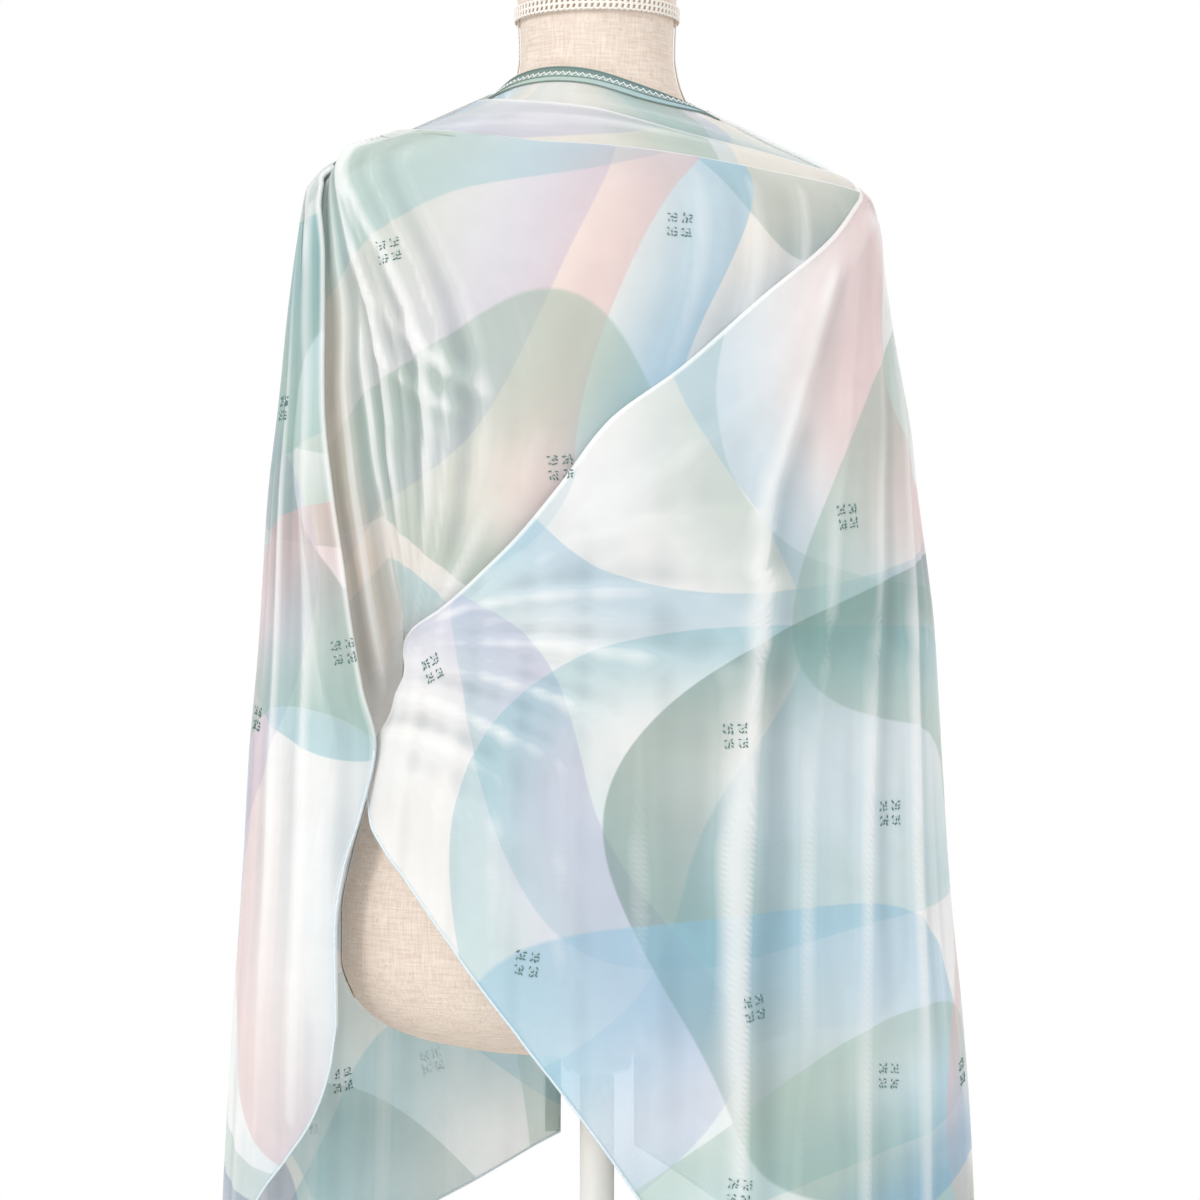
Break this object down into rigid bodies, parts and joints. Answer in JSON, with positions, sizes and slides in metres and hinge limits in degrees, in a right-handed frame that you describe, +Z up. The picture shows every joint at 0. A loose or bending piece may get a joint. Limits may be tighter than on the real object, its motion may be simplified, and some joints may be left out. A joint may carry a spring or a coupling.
{
  "type": "crepe shawl on a limbless dress form",
  "caption": "Sheer printed crepe shawl worn front to back over a linen dress form, drawn to the left waist in one deep diagonal fold",
  "frame": {"origin": "centre of the stand base's flat underside", "axes": "+Z up, the front of the form towards -Y, +X towards the viewer's right when the front is seen"},
  "size_m": [0.5316, 0.33, 1.0094],
  "materials": {
    "crepe": "sheer matt crepe with a soft flowing print",
    "band": "stitched grey-green band with white zigzag thread",
    "linen": "plain slubbed linen cover",
    "braid": "off-white cotton braid",
    "enamel": "satin ivory enamel"
  },
  "bodies": {
    "root": {"upper_pleat": "crepe", "second_pleat": "crepe", "chest_stretch": "crepe", "left_shoulder_swag": "crepe", "left_side_stretch": "crepe", "left_hanging_panel": "crepe", "front_wrap": "crepe", "waist_gather": "crepe", "front_lower_panel": "crepe", "right_hanging_panel": "crepe", "back_left_panel": "crepe", "back_right_panel": "crepe", "back_left_band": "band", "back_right_band": "band", "neck_band": "band", "form_torso": "linen", "form_neck_cap": "linen", "form_neck_braid": "braid", "form_left_braid": "braid", "form_right_braid": "braid", "stand_base": "enamel", "stand_pole": "enamel", "stand_collar": "enamel"}
  },
  "joints": []
}
